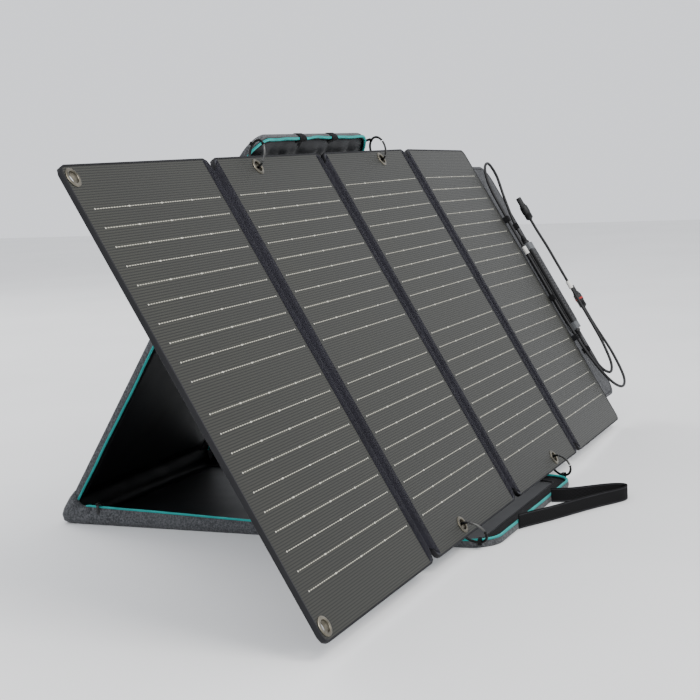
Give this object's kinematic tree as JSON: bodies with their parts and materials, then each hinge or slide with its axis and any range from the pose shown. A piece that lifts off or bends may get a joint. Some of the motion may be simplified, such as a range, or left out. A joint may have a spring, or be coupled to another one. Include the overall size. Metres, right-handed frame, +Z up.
{
  "type": "folding solar panel kit",
  "caption": "Folding portable solar panel standing on its own opened carry case, clipped at its corners, with stowed output leads.",
  "frame": {"origin": "centre of the carry case's underside, on the ground", "axes": "+Z up, +X along the unfolded panel towards the leads, -Y towards the side that the panel faces"},
  "size_m": [1.7042, 0.912, 0.6519],
  "materials": {
    "panel_face": "ribbed translucent film over dark cells",
    "cells": "dark silicon cells",
    "panel_back": "grey woven backing",
    "hinge_cloth": "smooth coated cloth",
    "eyelet_metal": "plated eyelet",
    "carabiner_metal": "gunmetal",
    "webbing": "woven webbing",
    "case_fabric": "heather woven cloth",
    "case_lining": "black lining",
    "zip_teal": "woven zip tape",
    "slider_metal": "satin black",
    "tag_white": "matte sleeve",
    "cable_jacket": "matte jacket",
    "black_plastic": "moulded, satin"
  },
  "bodies": {
    "base": {"floor_flap_shell": "case_fabric", "floor_flap_lining": "case_lining", "floor_zip_tape": "zip_teal", "spine_fold": "case_fabric", "corner_loop_2": "webbing", "corner_loop_4": "webbing"},
    "rear_flap": {"rear_flap_shell": "case_fabric", "rear_flap_lining": "case_lining", "rear_zip_tape": "zip_teal", "rear_handle": "webbing", "corner_loop_1": "webbing", "corner_loop_3": "webbing"},
    "panel_centre": {"leaf_2_laminate": "panel_face", "leaf_2_cell_sheet": "cells", "leaf_2_backing_board": "panel_back", "leaf_3_laminate": "panel_face", "leaf_3_cell_sheet": "cells", "leaf_3_backing_board": "panel_back", "hinge_strip_2": "hinge_cloth", "hinge_strip_3": "hinge_cloth", "eyelet_3": "eyelet_metal", "eyelet_4": "eyelet_metal", "eyelet_5": "eyelet_metal", "eyelet_6": "eyelet_metal", "carabiner_1_hook": "carabiner_metal", "carabiner_2_hook": "carabiner_metal", "carabiner_3_hook": "carabiner_metal", "carabiner_4_hook": "carabiner_metal"},
    "leaf_1": {"leaf_1_laminate": "panel_face", "leaf_1_cell_sheet": "cells", "leaf_1_backing_board": "panel_back", "hinge_strip_1": "hinge_cloth", "eyelet_1": "eyelet_metal", "eyelet_2": "eyelet_metal"},
    "leaf_4": {"leaf_4_laminate": "panel_face", "leaf_4_cell_sheet": "cells", "leaf_4_backing_board": "panel_back"},
    "cable_flap": {"cable_flap": "case_fabric", "junction_box_base": "black_plastic", "junction_box_lid": "black_plastic", "gland_upper": "black_plastic", "gland_lower": "black_plastic", "lead_positive": "cable_jacket", "lead_negative": "cable_jacket", "connector_male": "black_plastic", "connector_female": "black_plastic", "lead_tag_positive": "tag_white", "lead_tag_negative": "tag_white"},
    "zip_slider": {"zip_slider": "slider_metal"},
    "zip_pull": {"zip_pull": "webbing"},
    "front_handle": {"front_handle": "webbing"},
    "carabiner_1_gate": {"carabiner_1_gate": "carabiner_metal"},
    "carabiner_2_gate": {"carabiner_2_gate": "carabiner_metal"},
    "carabiner_3_gate": {"carabiner_3_gate": "carabiner_metal"},
    "carabiner_4_gate": {"carabiner_4_gate": "carabiner_metal"}
  },
  "joints": [
    {"name": "panel_tilt", "type": "hinge", "parent": "base", "child": "panel_centre", "pos_m": [0, -0.36671, 0.01187], "axis": [-1, 0, 0], "range_deg": [0, 22]},
    {"name": "rear_flap_hinge", "type": "hinge", "parent": "base", "child": "rear_flap", "pos_m": [0, 0.3865, 0.0144], "axis": [-1, 0, 0], "range_deg": [0, 45]},
    {"name": "leaf_1_fold", "type": "hinge", "parent": "panel_centre", "child": "leaf_1", "pos_m": [-0.398, -0.18825, 0.32315], "axis": [0, 0.4924, 0.8704], "range_deg": [0, 165]},
    {"name": "leaf_4_fold", "type": "hinge", "parent": "panel_centre", "child": "leaf_4", "pos_m": [0.398, -0.18825, 0.32315], "axis": [0, -0.4924, -0.8704], "range_deg": [0, 150]},
    {"name": "cable_flap_hinge", "type": "hinge", "parent": "leaf_4", "child": "cable_flap", "pos_m": [0.78828, -0.16057, 0.31898], "axis": [0, 0.4924, 0.8704], "range_deg": [0, 150]},
    {"name": "carabiner_1_gate_hinge", "type": "hinge", "parent": "panel_centre", "child": "carabiner_1_gate", "pos_m": [-0.25557, -0.03595, 0.60943], "axis": [-0.9397, 0.1684, 0.2977], "range_deg": [0, 20], "stiffness_Nm_per_rad": 0.05},
    {"name": "carabiner_2_gate_hinge", "type": "hinge", "parent": "panel_centre", "child": "carabiner_2_gate", "pos_m": [-0.25557, -0.3552, 0.04516], "axis": [0.9397, 0.1684, 0.2977], "range_deg": [0, 20], "stiffness_Nm_per_rad": 0.05},
    {"name": "carabiner_3_gate_hinge", "type": "hinge", "parent": "panel_centre", "child": "carabiner_3_gate", "pos_m": [0.25557, -0.03595, 0.60943], "axis": [-0.9397, -0.1684, -0.2977], "range_deg": [0, 20], "stiffness_Nm_per_rad": 0.05},
    {"name": "carabiner_4_gate_hinge", "type": "hinge", "parent": "panel_centre", "child": "carabiner_4_gate", "pos_m": [0.25557, -0.3552, 0.04516], "axis": [0.9397, -0.1684, -0.2977], "range_deg": [0, 20], "stiffness_Nm_per_rad": 0.05},
    {"name": "zip_slide", "type": "slide", "parent": "base", "child": "zip_slider", "axis": [0, -0.9996, -0.0291], "range_m": [-0.01, 0.5]},
    {"name": "zip_pull_hinge", "type": "hinge", "parent": "zip_slider", "child": "zip_pull", "pos_m": [-0.2425, 0.3265, 0.0379], "axis": [0, 1, 0], "range_deg": [0, 80]},
    {"name": "front_handle_hinge", "type": "hinge", "parent": "base", "child": "front_handle", "pos_m": [-0.015, -0.3868, 0.013], "axis": [-1, 0, 0], "range_deg": [0, 45]}
  ],
  "couplings": [
    {"joint": "rear_flap_hinge", "follows": "panel_tilt", "ratio": 2}
  ]
}
